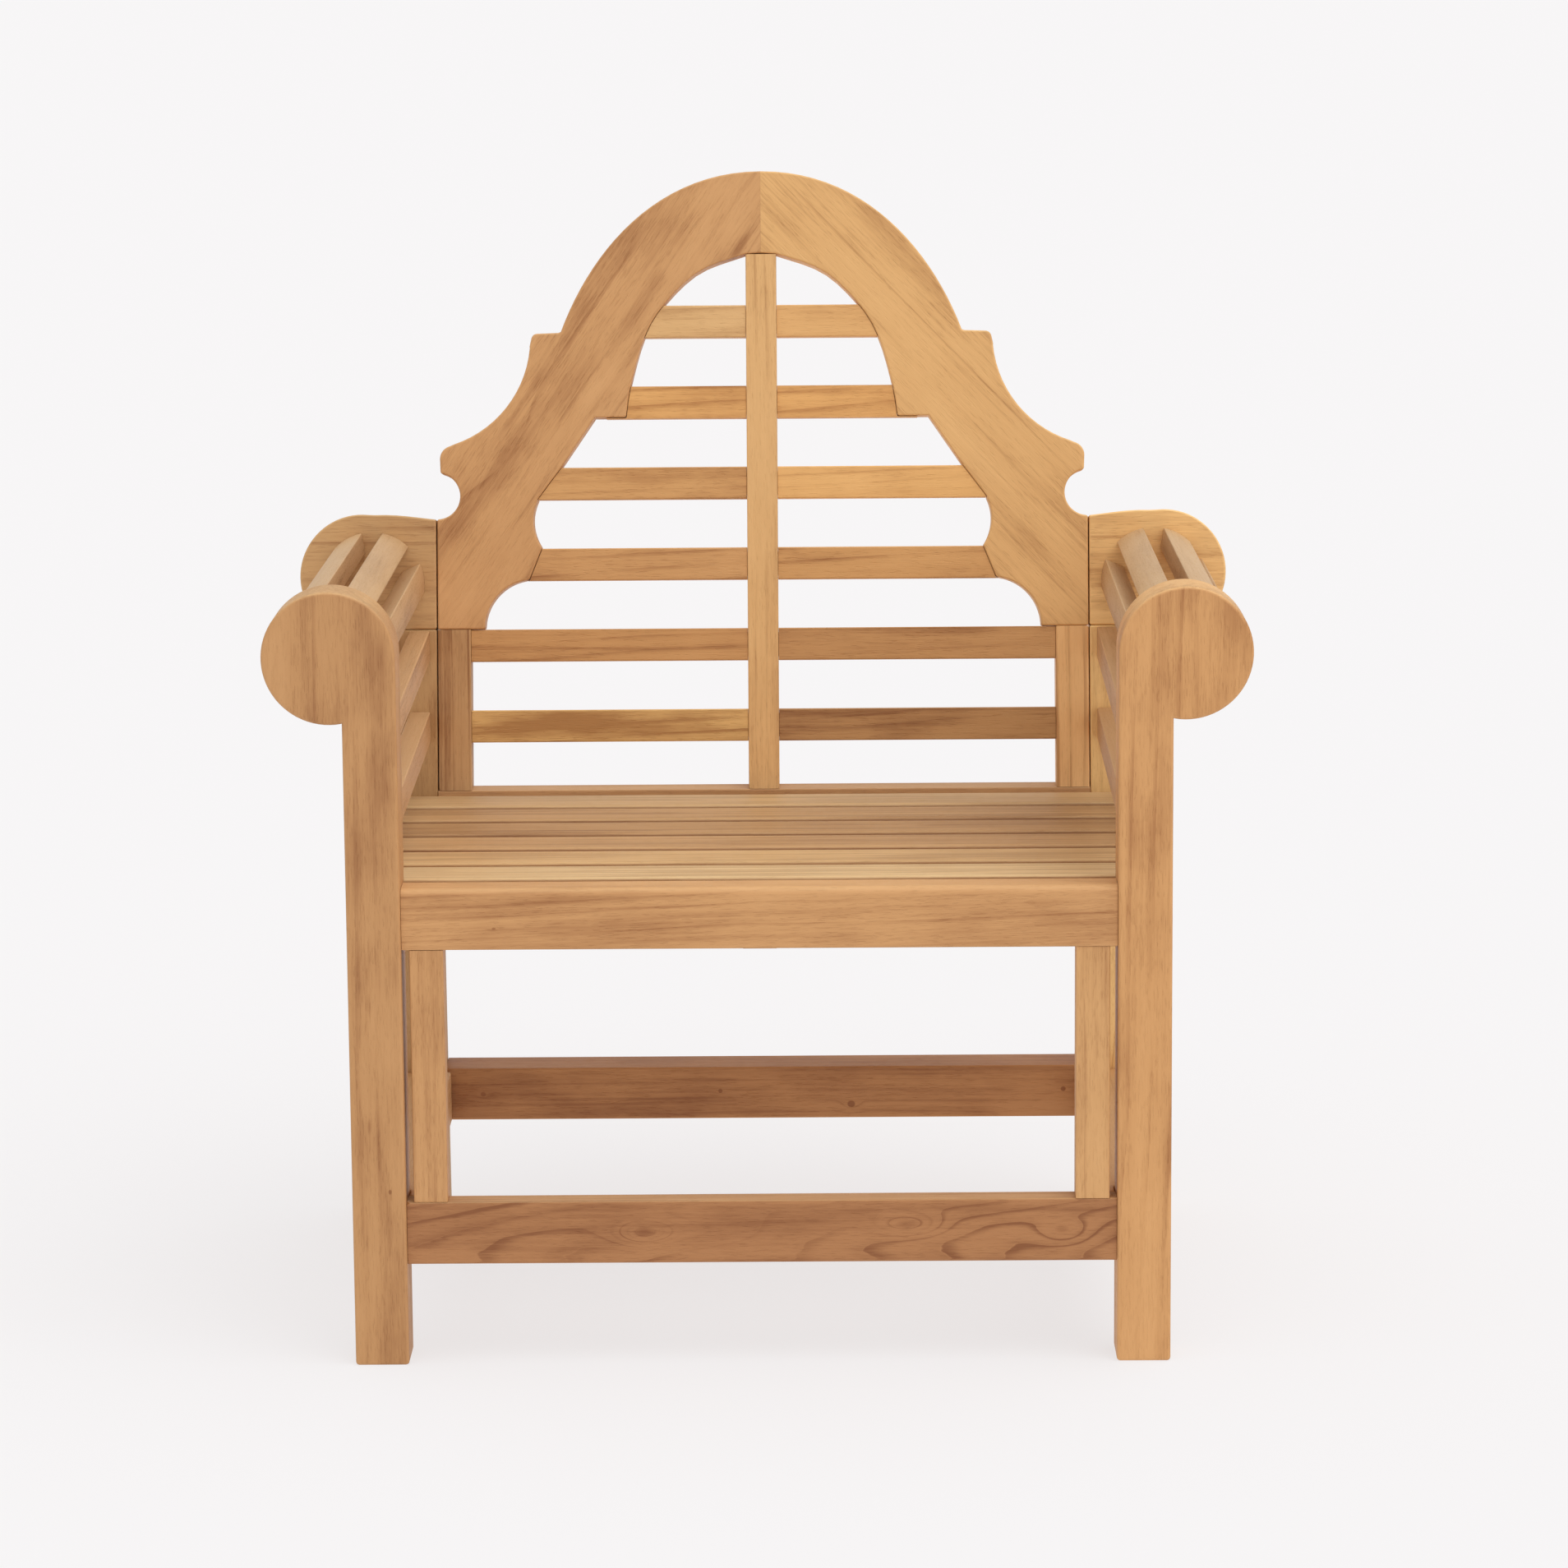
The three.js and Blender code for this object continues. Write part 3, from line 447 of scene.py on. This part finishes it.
def finish_arms():
    for side in ("left", "right"):
        flip = 1 if side == "left" else -1
        # The right rear leg and scroll are paler: partly their own wood, partly painted light that lifts the
        # arm's shade on them.
        leg_tone = (191, 147, 96) if side == "left" else (244, 199, 131)
        scroll_tone = (202, 158, 106) if side == "left" else (243, 195, 128)
        finish_piece(f"rear_leg_{side}", UP + 0.09 * INWARD, INWARD, 0.002, leg_tone, 24 + flip)
        finish_piece(f"rear_scroll_{side}", ALONG, BACK_FACE, 0.002, scroll_tone, 27 + flip, ring=0.012,
                     pith=(0.06, 0.05))
        for count, place in enumerate(("inner", "top_inner", "top_outer", "outer")):
            finish_piece(f"arm_slat_{place}_{side}", INWARD, UP, 0.0012, (196, 154, 108),
                         30 + count + flip * 0.3, mottle=1.8)
        for count, place in enumerate(("upper", "lower")):
            finish_piece(f"side_slat_{place}_{side}", INWARD, ALONG, 0.0015, (204, 158, 110),
                         36 + count + flip * 0.3)
        for level in ("lower", "upper"):
            finish_piece(f"back_dowel_{level}_{side}", ALONG, UP, 0.0005, TAN, 40 + flip)
    finish_piece("crest_spline", ALONG, BACK_FACE, 0.0005, TAN, 42)
    finish_piece("front_leg_left", UP, INWARD, 0.003, (195, 144, 93), 22, ring=0.015, pith=(0.2, 0.08),
                 figure=0.4, streak=0.4, mottle=2.6, wander=0.02, bleach=2.2,
                 eyes=((-0.02, 0.03, 0.03, 0.006, 0.008, 0.3), (-0.13, 0.028, 0.02, 0.005, 0.006, 0.3),
                       (-0.19, 0.045, 0.006, 0.004, 0.003, 0.7)))
    finish_piece("front_leg_right", UP, INWARD, 0.003, (212, 157, 100), 20, ring=0.017, pith=(-0.2, 0.08),
                 figure=0.75, streak=0.3, mottle=2.4, lean=0.04, wander=0.02, bleach=2.0)


def finish_seat():
    tones = ((216, 176, 124), (205, 160, 107), (191, 144, 95),
             (180, 134, 87), (187, 142, 94), (199, 158, 109))
    # The slats' sides are darkened with painted shade, where the gaps between them fall into shade.
    for row, tone in enumerate(tones, 1):
        finish_piece(f"seat_slat_{row}", ALONG, UP, 0.0022, tone, 50 + row * 1.9, ring=0.009,
                     pith=(0.1, 0.03), figure=2.2, streak=5.0, mottle=2.8, wander=0.012, grime=1.2)
    finish_piece("seat_front_rail", ALONG + 0.035 * UP, INWARD, 0.0018, (208, 155, 101), 61, butted=True,
                 ring=0.010, pith=(0.1, 0.02), figure=0.5, streak=0.4, mottle=1.8, wander=0.02,
                 eyes=((-0.235, 0.0, 0.005, 0.003, 0.003, 0.6),))
    finish_piece("seat_rear_rail", ALONG, INWARD, 0.0015, TAN, 62, butted=True)
    finish_piece("seat_center_bearer", INWARD, ALONG, 0.0015, TAN, 63, butted=True)
    for side in ("left", "right"):
        finish_piece(f"seat_side_rail_{side}", INWARD, ALONG, 0.0015, TAN, 64 + (side == "left"),
                     butted=True)


def finish_base():
    # Its top face is paled strongly with painted light, which lifts the shade under the seat.
    finish_piece("front_stretcher", ALONG, INWARD, 0.003, (178, 123, 77), 71, butted=True, ring=0.004,
                 pith=(0.02, 0.09), lean=0.06, figure=1.3, mottle=1.8, wander=0.008, bleach=4.2,
                 eyes=((-0.105, 0.0, 0.024, 0.012, 0.016, 0.4), (-0.07, 0.0, 0.07, 0.014, 0.010, 0),
                       (0.13, -0.006, 0.03, 0.010, 0.014, 0.35), (0.27, 0.002, 0.025, 0.012, 0.008, 0)))
    finish_piece("rear_stretcher", ALONG, INWARD, 0.002, REDDISH, 72, butted=True, mottle=2.6, ring=0.009,
                 streak=1.0, bleach=0.1,
                 eyes=((-0.28, 0.0, 0.006, 0.005, 0.004, 1.6), (-0.046, -0.002, 0.005, 0.005, 0.004, 1.6),
                       (0.083, 0.012, 0.009, 0.008, 0.008, 2.0), (0.292, -0.002, 0.006, 0.006, 0.005, 1.8)))
    for side in ("left", "right"):
        tone = (204, 152, 99) if side == "left" else (214, 163, 107)
        finish_piece(f"side_stretcher_{side}", INWARD, ALONG, 0.002, TAN, 73 + (side == "left"))
        finish_piece(f"front_stile_{side}", UP, INWARD, 0.0015, tone, 75 + (side == "left"), butted=True)


finish_back()
finish_arms()
finish_seat()
finish_base()

# ---------------------------------------------------------------- floor, light and camera

FLOOR_HALF = 150.0
FLOOR_COLOUR = (0.25, 0.25, 0.251, 1)
# The floor gives off light of its own, like the lit white background of a photo studio.
FLOOR_GLOW_COLOUR = (1.0, 0.985, 0.995, 1)
FLOOR_GLOW = 0.667
STUDIO_COLOUR = (1.0, 0.985, 0.975, 1)
KEY_FROM = Vector((0.42, -0.38, 1.0))
KEY_TIGHTNESS = 6.0
KEY_STRENGTH = 1.7
FILL_STRENGTH = 0.7
CAMERA_PLACE = Vector((0.0568, -4.9765, 1.3688))
CAMERA_LENS = 123.83
PITCH = math.radians(10.228)
YAW = math.radians(0.417)
ROLL = math.radians(0.448)


def make_floor():
    mesh = bpy.data.meshes.new("floor")
    corners = [(-FLOOR_HALF, -FLOOR_HALF, 0), (FLOOR_HALF, -FLOOR_HALF, 0),
               (FLOOR_HALF, FLOOR_HALF, 0), (-FLOOR_HALF, FLOOR_HALF, 0)]
    mesh.from_pydata(corners, [], [(0, 1, 2, 3)])
    floor = bpy.data.objects.new("floor", mesh)
    bpy.context.scene.collection.objects.link(floor)
    material = bpy.data.materials.new("pale_floor")
    material.use_nodes = True
    surface = material.node_tree.nodes["Principled BSDF"]
    surface.inputs["Base Color"].default_value = FLOOR_COLOUR
    surface.inputs["Emission Color"].default_value = FLOOR_GLOW_COLOUR
    surface.inputs["Emission Strength"].default_value = FLOOR_GLOW
    surface.inputs["Roughness"].default_value = 0.9
    surface.inputs["Specular IOR Level"].default_value = 0.0
    mesh.materials.append(material)


def make_light():
    """A pale studio all round, with one very large soft light high up at the front right."""
    world = bpy.data.worlds.new("studio")
    world.use_nodes = True
    tree = Tree(world.node_tree)
    direction = tree.add("ShaderNodeTexCoord").outputs["Generated"]
    facing = tree.math("MAXIMUM", tree.vector("DOT_PRODUCT", direction, KEY_FROM.normalized()), 0.0)
    glow = tree.math("POWER", facing, KEY_TIGHTNESS)
    background = world.node_tree.nodes["Background"]
    tree.feed(background.inputs["Strength"], tree.math("MULTIPLY_ADD", glow, KEY_STRENGTH, FILL_STRENGTH))
    background.inputs["Color"].default_value = STUDIO_COLOUR
    bpy.context.scene.world = world


def make_camera():
    forward = Vector((-math.sin(YAW) * math.cos(PITCH), math.cos(YAW) * math.cos(PITCH),
                      -math.sin(PITCH)))
    level = Vector((math.cos(YAW), math.sin(YAW), 0))
    upright = level.cross(forward)
    right = math.cos(ROLL) * level - math.sin(ROLL) * upright
    top = math.sin(ROLL) * level + math.cos(ROLL) * upright
    data = bpy.data.cameras.new("camera")
    data.lens = CAMERA_LENS
    data.sensor_width = 36
    camera = bpy.data.objects.new("camera", data)
    turn = Matrix((right, top, -forward)).transposed().to_4x4()
    camera.matrix_world = Matrix.Translation(CAMERA_PLACE) @ turn
    bpy.context.scene.collection.objects.link(camera)
    bpy.context.scene.camera = camera


make_floor()
make_light()
make_camera()
bpy.context.scene.view_settings.view_transform = "Standard"

bpy.context.view_layer.update()
